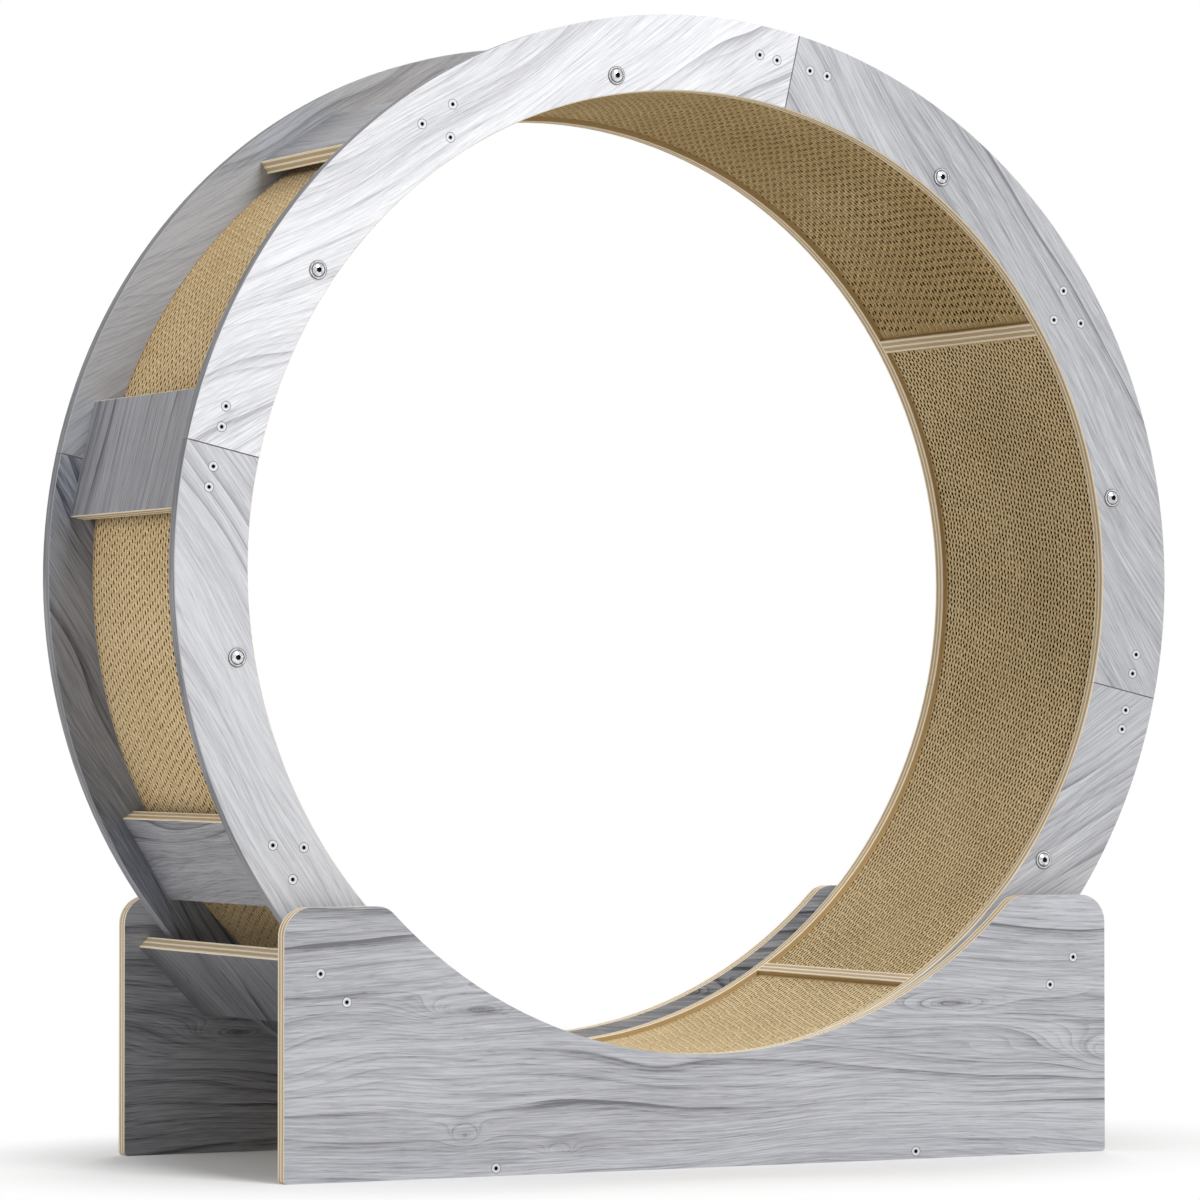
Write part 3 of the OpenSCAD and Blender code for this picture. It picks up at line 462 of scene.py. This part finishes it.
def flute_field(arc, per_wave, lean, spread, zigzag, seed):
    """One face of a quarter as a grid over (arc, y): each point's place along the arc, place across the
    track, count of half waves and depth. Also the count of layers, a layer's width and a cell's length.

    A cell is a layer wide and 1 / per_wave of a wave long. In each layer the waved sheet swings from side to
    side, and a cell's pit lies on the side that it swings away from. PIT_FORMS gives the cell's lines along
    the arc, as shares of the cell, the pit's half width at each, as shares of a layer, and the lines across,
    as shares of that half width. Only the points of the inner lines sink to the pit's depth. Each layer
    starts lean cells further along than the last, give or take spread, every other layer is shifted by
    zigzag, and a sum of sines moves the waves slowly out of step."""
    chance = np.random.default_rng(seed)
    layers = int(2 * TRACK_HALF_W / LAYER_PITCH)
    pits = int(arc / (FLUTE_PITCH / per_wave) - BLANK_CELLS)
    layer_w, cell_l = 2 * TRACK_HALF_W / layers, arc / (pits + BLANK_CELLS)
    start = np.cumsum(chance.normal(lean, spread, layers))
    start += 0.5 - start.mean()
    line_shares, width_shares, across_shares = (np.array(shares) for shares in PIT_FORMS[per_wave])
    halves = 2 // per_wave
    first = np.floor(start) if per_wave == 2 else np.arange(layers) % 2
    half_wave = halves * np.arange(pits)[:, None] + first[None, :]
    side = 1.0 - 2.0 * (half_wave % 2)
    i, j = np.arange(pits)[:, None] / pits, np.arange(layers)[None, :] / layers
    sines = [(chance.uniform(-5, 5), chance.uniform(-2, 2), chance.uniform(0, math.tau)) for _ in range(5)]
    drift = sum(np.sin(math.tau * (a * i + b * j) + c) for a, b, c in sines)
    drift = drift * DRIFT_CELLS * np.clip(8 * i * (1 - i), 0, 1)
    worn = sum(np.sin(math.tau * (b * i / 2 + a * j / 2) + c) for a, b, c in sines) / 3
    wide = chance.uniform(*PIT_WIDTH_SHARES, (pits, layers)) + WORN_SHARE * worn
    wide = wide * np.where(chance.random((pits, layers)) < CRUSHED_PITS, CRUSHED_WIDTH_SHARE, 1)
    slip = chance.normal(0, SLIP_CELLS, (pits, layers))
    sink = chance.uniform(*PIT_DEPTH_SHARES, (pits, layers)) * PIT_DEPTH

    from_start = np.arange(pits)[:, None] + FIRST_BLANK_CELLS + start % 1 + drift + slip + zigzag * side
    along = (from_start[:, :, None] + line_shares)[..., None] * cell_l
    middle = (np.arange(layers) + 0.5 + SIDE_SHIFT * (per_wave - 1) * side + slip[::-1])[:, :, None, None]
    across = (middle + (wide[:, :, None] * width_shares)[..., None] * across_shares) * layer_w
    passed = (half_wave[:, :, None] + 0.5 + halves * (line_shares - 0.5))[..., None]
    sunk = np.zeros(across.shape)
    sunk[:, :, 1:-1, 1:-1] = sink[:, :, None, None]

    rows, columns = len(line_shares) * pits, len(across_shares) * layers
    cells = [np.broadcast_to(values, sunk.shape).transpose(0, 2, 1, 3).reshape(rows, columns)
             for values in (along, across, passed, sunk)]
    edge_along = np.concatenate([[0], cells[0].mean(1), [arc]])[:, None]
    field = np.zeros((4, rows + 2, columns + 2))
    field[0] = edge_along
    field[1] = np.concatenate([[0], cells[1].mean(0), [2 * TRACK_HALF_W]])
    field[2] = edge_along * halves / cell_l
    field[:, 1:-1, 1:-1] = cells
    return field, layers, layer_w, cell_l


def fluted_track(name, joint_deg, face_r, back_r, per_wave, lean, spread, zigzag, seed):
    """Half the thickness of one quarter of the track, closed, with pits in its face at radius face_r and a
    plain back at back_r. The point at arc s and radius r stands at the angle joint + s / face_r from the
    axle, with s counted from the middle of the quarter."""
    half_angle = math.radians(QUARTER_DEG / 2) - math.asin(TRACK_END_GAP / face_r)
    field, layers, layer_w, cell_l = flute_field(2 * half_angle * face_r, per_wave, lean, spread, zigzag,
                                                 seed)
    along, across, passed, sunk = field
    ends = along[:, 0]

    def spots(radius, place_along, y):
        """Points at those radii, places along the arc and places along the axle."""
        angle = math.radians(joint_deg) - half_angle + place_along / face_r
        return np.stack([radius * np.cos(angle), y, AXLE_Z + radius * np.sin(angle)], -1).reshape(-1, 3)

    face = spots(face_r + np.sign(back_r - face_r) * sunk, along, across - TRACK_HALF_W)
    back = [spots(back_r, ends, np.full(len(ends), y)) for y in (-TRACK_HALF_W, TRACK_HALF_W)]
    number = np.arange(along.size).reshape(along.shape)
    low = along.size + np.arange(len(ends))
    high = low + len(ends)
    quads = np.stack([number[:-1, :-1], number[1:, :-1], number[1:, 1:], number[:-1, 1:]], -1).reshape(-1, 4)
    sides = [np.stack([a[:-1], b[:-1], b[1:], a[1:]], -1) for a, b in
             ((number[:, 0], low), (high, number[:, -1]), (low, high))]
    faces = np.concatenate([quads, *sides]).tolist()
    faces.append([*number[0].tolist(), int(high[0]), int(low[0])])
    faces.append([*number[-1, ::-1].tolist(), int(low[-1]), int(high[-1])])
    mesh = bpy.data.meshes.new(name)
    mesh.from_pydata(np.concatenate([face, *back]).tolist(), [], faces)
    pit = np.concatenate([sunk.ravel() / PIT_DEPTH, np.zeros(2 * len(ends))]).astype(np.float32)
    mesh.attributes.new("pit", "FLOAT", "POINT").data.foreach_set("value", pit)
    counts = np.concatenate([np.stack([passed.ravel(), across.ravel() / layer_w], -1),
                             np.stack([ends / cell_l, 0 * ends], -1),
                             np.stack([ends / cell_l, 0 * ends + layers], -1)])
    corner = np.empty(len(mesh.loops), np.int32)
    mesh.loops.foreach_get("vertex_index", corner)
    mesh.uv_layers.new(name="flutes").data.foreach_set("uv", counts[corner].astype(np.float32).ravel())
    solid = bmesh.new()
    solid.from_mesh(mesh)
    bmesh.ops.recalc_face_normals(solid, faces=solid.faces)
    solid.to_mesh(mesh)
    solid.free()
    piece = bpy.data.objects.new(name, mesh)
    bpy.context.scene.collection.objects.link(piece)
    return piece


def cut_card(name, light, mid, pit_shade_tone, stain_and_shade_level):
    """Cut card: brown paper fibres, with the thin pale edges of the flat and the waved sheets between the
    pits, which are painted dark from their rims down, as painted shade. The UV map counts half waves along
    the arc and layers across. Handling has left slow stains round a level, where 1 is pale, and that level is
    also painted light and shade, darkest on the inner face of the top quarter, which faces down."""
    made = bpy.data.materials.new(name)
    made.use_nodes = True
    tree = made.node_tree
    flutes = put(tree, "ShaderNodeUVMap", uv_map="flutes").outputs[0]
    counted = put(tree, "ShaderNodeSeparateXYZ", {0: flutes}).outputs
    pit = put(tree, "ShaderNodeAttribute", attribute_name="pit").outputs["Fac"]
    where = put(tree, "ShaderNodeTexCoord").outputs["Object"]
    from_layer = calc(tree, "SUBTRACT", calc(tree, "FRACT", counted[1]), 0.5)
    flat_sheet = ramp_between(tree, calc(tree, "ABSOLUTE", from_layer), *FLAT_SHEET)
    swing = calc(tree, "SINE", calc(tree, "MULTIPLY", counted[0], math.pi))
    from_wave = calc(tree, "ABSOLUTE", calc(tree, "MULTIPLY_ADD", swing, WAVE_SHARE, from_layer))
    waved_sheet = ramp_between(tree, from_wave, *WAVED_SHEET)
    paper = put(tree, "ShaderNodeTexNoise", {"Vector": where, "Scale": PAPER_PER_M, "Detail": 3.0,
                                             "Roughness": 0.65}).outputs["Fac"]
    stain = put(tree, "ShaderNodeTexNoise", {"Vector": where, "Scale": STAINS_PER_M, "Detail": 4.0,
                                             "Roughness": 0.6}).outputs["Fac"]
    sheet_tone = calc(tree, "MAXIMUM", flat_sheet, waved_sheet)
    card_tone = calc(tree, "MULTIPLY_ADD", calc(tree, "SUBTRACT", paper, 0.5), PAPER_STRENGTH,
                     stain_and_shade_level + CARD_SHADE)
    card_tone = calc(tree, "MULTIPLY_ADD", sheet_tone, SHEET_STRENGTH, card_tone)
    card_tone = calc(tree, "MULTIPLY_ADD", calc(tree, "SUBTRACT", stain, 0.5), STAIN_STRENGTH, card_tone,
                     clamp=True)
    card_color = mixed(tree, card_tone, mid, light)
    # The pits are painted dark: painted shade.
    card_color = mixed(tree, ramp_between(tree, pit, *PIT_EDGE), card_color, pit_shade_tone)
    height = calc(tree, "MULTIPLY_ADD", sheet_tone, 0.5, paper)
    bump = put(tree, "ShaderNodeBump", {"Strength": 0.5, "Distance": 0.0006, "Height": height}).outputs[0]
    shader = tree.nodes["Principled BSDF"]
    shader.inputs["Roughness"].default_value = 0.92
    shader.inputs["Specular IOR Level"].default_value = 0.05
    tree.links.new(card_color, shader.inputs["Base Color"])
    tree.links.new(bump, shader.inputs["Normal"])
    return made


halfway_r = (TRACK_IN_R + TRACK_OUT_R) / 2
for quarter in range(4):
    joint_deg = FIRST_JOINT_DEG + QUARTER_DEG * quarter
    for part, face_r in (("inner", TRACK_IN_R), ("outer", TRACK_OUT_R)):
        track = fluted_track(f"track_{part}_{quarter + 1}", joint_deg, face_r, halfway_r,
                             PITS_PER_WAVE[part][quarter], LAYER_LEANS[part][quarter],
                             LEAN_SPREADS[part][quarter], ZIGZAGS[part][quarter], 11 * quarter + ord(part[0]))
        track.data.materials.append(cut_card(f"card_{part}_{quarter + 1}", *CARD_TONES[part],
                                             CARD_STAINS_AND_SHADE[part][quarter]))
        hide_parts(f"tread_{quarter + 1}")
        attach(track, "wheel")


# Fasteners.
# Bright zinc wood screws with a countersunk head and a hexagon socket, and chromed cap bolts with a flange
# and a low dome, which take the ends of the tie rods. Their sockets, the groove of the dome and the edges of
# the heads are painted dark, as painted shade.
# A finish is its bright and shaded tones, its roughness, and its marks' cells per metre and depth.
ZINC_TONE, ZINC_SHADE = (0.90, 0.91, 0.92, 1), (0.62, 0.63, 0.65, 1)
ZINC = (ZINC_TONE, ZINC_SHADE, 0.34, 700, 0.0002)
CHROME = ((0.88, 0.88, 0.89, 1), (0.50, 0.50, 0.52, 1), 0.14, 250, 0.00005)
SOCKET_TONE, SOCKET_ROUGHNESS = (0.018, 0.019, 0.024, 1), 0.7
SOCKET_STEP = 0.0006
SCREW_TOP_R, SCREW_SOCKET_R = 0.0050, 0.0020
SCREW_EDGE_FROM, SCREW_EDGE_TO = 0.0009, 0.0002
SCREW_DISH_W = 0.0009
SCREW_EDGE_DARK, SCREW_DISH_DARK, CAP_DARK = 0.80, 0.45, 0.85
EIGHTH_DEG = 45.0
# Each is (outward place, sideways place) in a frame that looks out from the axle.
RING_SCREWS = ((0.519, 0.0192), (0.519, 0.0391), (0.49325, 0.0))
CAP_BOLTS = ((0.49325, 0.0),)
CAP_TOP_Y, CAP_SOCKET_R, CAP_DOME_R, CAP_FLANGE_R = 0.1704, 0.0030, 0.00666, 0.0090
CAP_GROOVE_FROM, CAP_GROOVE_TO = 0.0009, 0.0003
CAP_EDGE_FROM, CAP_EDGE_TO = 0.0008, 0.0002


def metal(name, bright, shade, roughness, grain_per_m, bump_m, dark_part=None):
    """Metal with fine, slightly drawn marks: brightness and roughness follow one noise. dark_part, if given,
    adds nodes to the tree and gives a mask of the painted shade, which is painted dark."""
    made = bpy.data.materials.new(name)
    made.use_nodes = True
    tree = made.node_tree
    where = put(tree, "ShaderNodeTexCoord").outputs["Object"]
    marks = put(tree, "ShaderNodeTexNoise", {"Vector": where, "Scale": grain_per_m, "Detail": 4.0,
                                             "Roughness": 0.6}).outputs["Fac"]
    worn = ramp_between(tree, marks, 0.35, 0.68)
    color = mixed(tree, worn, shade, bright)
    rough = calc(tree, "MULTIPLY_ADD", worn, -0.1, roughness)
    if dark_part:
        dark = dark_part(tree, put(tree, "ShaderNodeSeparateXYZ", {0: where}).outputs)
        color = mixed(tree, dark, color, SOCKET_TONE)
        rough = put(tree, "ShaderNodeMix", {0: dark, 2: rough, 3: SOCKET_ROUGHNESS}).outputs[0]
    shader = tree.nodes["Principled BSDF"]
    shader.inputs["Metallic"].default_value = 1.0
    tree.links.new(color, shader.inputs["Base Color"])
    tree.links.new(rough, shader.inputs["Roughness"])
    bump = put(tree, "ShaderNodeBump", {"Strength": 0.2, "Distance": bump_m, "Height": marks})
    tree.links.new(bump.outputs[0], shader.inputs["Normal"])
    return made


def from_nearest(tree, along, aside, spots):
    """Distance to the nearest of some places, which are mirrored in the line aside = 0."""
    nearest = 1.0
    aside = calc(tree, "ABSOLUTE", aside)
    for spot_along, spot_aside in spots:
        a, b = calc(tree, "SUBTRACT", along, spot_along), calc(tree, "SUBTRACT", aside, spot_aside)
        away = calc(tree, "SQRT", calc(tree, "MULTIPLY_ADD", a, a, calc(tree, "MULTIPLY", b, b)))
        nearest = calc(tree, "MINIMUM", away, nearest)
    return nearest


def about_axle(tree, place, first_deg):
    """Outward and sideways place in the nearest of eight frames round the axle, the first at first_deg."""
    height = calc(tree, "SUBTRACT", place[2], AXLE_Z)
    squared = calc(tree, "MULTIPLY_ADD", height, height, calc(tree, "MULTIPLY", place[0], place[0]))
    from_axle = calc(tree, "SQRT", squared)
    turn = calc(tree, "SUBTRACT", calc(tree, "ARCTAN2", height, place[0]), math.radians(first_deg))
    eighth = math.radians(EIGHTH_DEG)
    eighths = calc(tree, "DIVIDE", turn, eighth)
    left_over = calc(tree, "MULTIPLY", calc(tree, "SUBTRACT", eighths, calc(tree, "ROUND", eighths)), eighth)
    return (calc(tree, "MULTIPLY", from_axle, calc(tree, "COSINE", left_over)),
            calc(tree, "MULTIPLY", from_axle, calc(tree, "SINE", left_over)))


def below(tree, place, face_y):
    """What lies deeper than the flat top of a head whose face is at face_y."""
    return calc(tree, "LESS_THAN", calc(tree, "ABSOLUTE", place[1]), face_y - SOCKET_STEP)


def screw_shadow(tree, place, away, face_y):
    """The hexagon socket, the shaded edge of the head and its dished middle."""
    edge = ramp_between(tree, away, SCREW_TOP_R - SCREW_EDGE_FROM, SCREW_TOP_R - SCREW_EDGE_TO)
    dish = ramp_between(tree, away, SCREW_SOCKET_R + SCREW_DISH_W, SCREW_SOCKET_R)
    soft = calc(tree, "MULTIPLY_ADD", edge, SCREW_EDGE_DARK, calc(tree, "MULTIPLY", dish, SCREW_DISH_DARK))
    return calc(tree, "MAXIMUM", below(tree, place, face_y), soft, clamp=True)


def ring_screw_shadow(tree, place):
    """Shadow of the screws in the rings."""
    away = from_nearest(tree, *about_axle(tree, place, FIRST_JOINT_DEG), RING_SCREWS)
    return screw_shadow(tree, place, away, RING_OUTER_Y)


def cap_shadow(tree, place):
    """The socket, the groove at the foot of the dome and the edge of the flange of a cap bolt."""
    away = from_nearest(tree, *about_axle(tree, place, FIRST_JOINT_DEG + EIGHTH_DEG / 2), CAP_BOLTS)
    socket = calc(tree, "MULTIPLY", calc(tree, "LESS_THAN", away, CAP_SOCKET_R),
                  below(tree, place, CAP_TOP_Y))
    groove = ramp_between(tree, calc(tree, "ABSOLUTE", calc(tree, "SUBTRACT", away, CAP_DOME_R)),
                          CAP_GROOVE_FROM, CAP_GROOVE_TO)
    rim = ramp_between(tree, away, CAP_FLANGE_R - CAP_EDGE_FROM, CAP_FLANGE_R - CAP_EDGE_TO)
    soft = calc(tree, "MULTIPLY", calc(tree, "MAXIMUM", groove, rim), CAP_DARK)
    return calc(tree, "MAXIMUM", socket, soft)


zinc = metal("bright_zinc", *ZINC)
ring_zinc = metal("ring_screw_zinc", *ZINC, ring_screw_shadow)
chrome = metal("polished_chrome", *CHROME, cap_shadow)
dress("tie_rods", zinc)
for side in ("front", "rear"):
    dress(f"{side}_ring_screws", ring_zinc)
    dress(f"{side}_cap_bolts", chrome)


# Base panels.
# Two upright panels of printed plywood with the grain along the floor, a hollow top that follows the wheel,
# rounded corners and raw edges all round. The front one has a few knots and the tip of a cathedral.
panel_low, panel_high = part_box("rear_panel")
# The rear panel's tones are darker than the front one's: painted shade of its inner face, which lies between
# the panels.
PANEL_TONES = {"front": ((0.575, 0.58, 0.615, 1), (0.16, 0.16, 0.18, 1)),
               "rear": ((0.47, 0.475, 0.505, 1), (0.080, 0.082, 0.095, 1))}
# Each is (height, place aside from the middle).
PANEL_SCREWS = ((0.1965, 0.4158), (0.1693, 0.3886), (0.0075, 0.2320))
FRONT_KNOTS = ((-0.247, 0.159, 0.030, 0.0075, 4.8), (0.272, 0.153, 0.034, 0.0060, 4.6),
               (0.458, 0.097, 0.046, 0.020, 3.0), (-0.265, 0.040, 0.007, 0.0040, 4.2),
               (-0.164, 0.022, 0.008, 0.0035, 2.0), (-0.060, 0.100, 0.070, 0.022, 0.9))
REAR_KNOTS = ((-0.330, 0.120, 0.026, 0.0060, 4.4), (0.180, 0.150, 0.030, 0.0070, 4.6))


def panel_screw_shadow(tree, place):
    """Shadow of the screws in the base panels."""
    away = from_nearest(tree, place[2], place[0], PANEL_SCREWS)
    return screw_shadow(tree, place, away, panel_high.y)


panel_zinc = metal("panel_screw_zinc", *ZINC, panel_screw_shadow)
for side, seed, knots in (("front", 21.4, FRONT_KNOTS), ("rear", 33.8, REAR_KNOTS)):
    dress(f"{side}_panel", plywood(f"{side}_panel_print", 0, ("Y", panel_low.y, panel_high.y), "XZ", seed,
                                   *PANEL_TONES[side], centre_z=0, knots=knots))
    dress(f"{side}_base_screws", panel_zinc)


# Boards of the base.
# Tilted boards between the panels carry the rollers; a flat one lies on the floor. Their edges are raw and
# the print of the tilted ones runs down the slope.
ROLLER_BOARD_IN_R = 0.5563
ROLLER_TURN_DEG = 45.0
# The tilted boards' tones are darker still: painted shade of boards that face down under the wheel.
SLOPE_LIGHT, SLOPE_DARK = (0.235, 0.235, 0.25, 1), (0.020, 0.020, 0.025, 1)

slope_thick = ("X", ROLLER_BOARD_IN_R, ROLLER_BOARD_IN_R + PLY_T)
for hand, way in (("left", -1), ("right", 1)):
    dress(f"{hand}_roller_board",
          plywood(f"{hand}_roller_board_print", -QUARTER_DEG + way * ROLLER_TURN_DEG, slope_thick, "ZY",
                  90 + way, SLOPE_LIGHT, SLOPE_DARK))
dress("floor_board",
      plywood("floor_board_print", 0, ("Z", 0, PLY_T), "XY", 97, BOARD_LIGHT, BOARD_DARK, centre_z=0))


# Rollers and guides.
# Ball bearings on steel pins, with white nylon tyres, sit in pockets of the tilted boards under steel keeper
# plates. White nylon guide discs on bolts keep the rings in line.
NYLON_TONE, NYLON_SHADE = (0.82, 0.82, 0.80, 1), (0.66, 0.66, 0.63, 1)
NYLON_CLOUDS_PER_M, NYLON_ROUGHNESS, NYLON_RELIEF = 300.0, (0.35, 0.55), 0.0002
GROUND_STEEL = (ZINC_TONE, ZINC_SHADE, 0.28, 1500, 0.0001)

nylon = bpy.data.materials.new("white_nylon")
nylon.use_nodes = True
tree = nylon.node_tree
where = put(tree, "ShaderNodeTexCoord").outputs["Object"]
cloud = put(tree, "ShaderNodeTexNoise", {"Vector": where, "Scale": NYLON_CLOUDS_PER_M,
                                         "Detail": 3.0}).outputs["Fac"]
shader = tree.nodes["Principled BSDF"]
tree.links.new(mixed(tree, cloud, NYLON_SHADE, NYLON_TONE), shader.inputs["Base Color"])
rough = calc(tree, "MULTIPLY_ADD", cloud, NYLON_ROUGHNESS[1] - NYLON_ROUGHNESS[0], NYLON_ROUGHNESS[0])
tree.links.new(rough, shader.inputs["Roughness"])
bump = put(tree, "ShaderNodeBump", {"Strength": 0.2, "Distance": NYLON_RELIEF, "Height": cloud})
tree.links.new(bump.outputs[0], shader.inputs["Normal"])

ground_steel = metal("ground_steel", *GROUND_STEEL)
for side in ("front", "rear"):
    for hand in ("left", "right"):
        dress(f"{side}_{hand}_roller_tyre", nylon)
        dress(f"{side}_{hand}_guide_roller", nylon)
        dress(f"{side}_{hand}_roller_races", ground_steel)
for part in ("roller_pins", "bearing_inner_rings", "bearing_spacers"):
    dress(part, ground_steel)
for part in ("keeper_plates", "keeper_screws", "guide_bolts", "guide_spacers", "guide_washers", "guide_nuts"):
    dress(part, zinc)
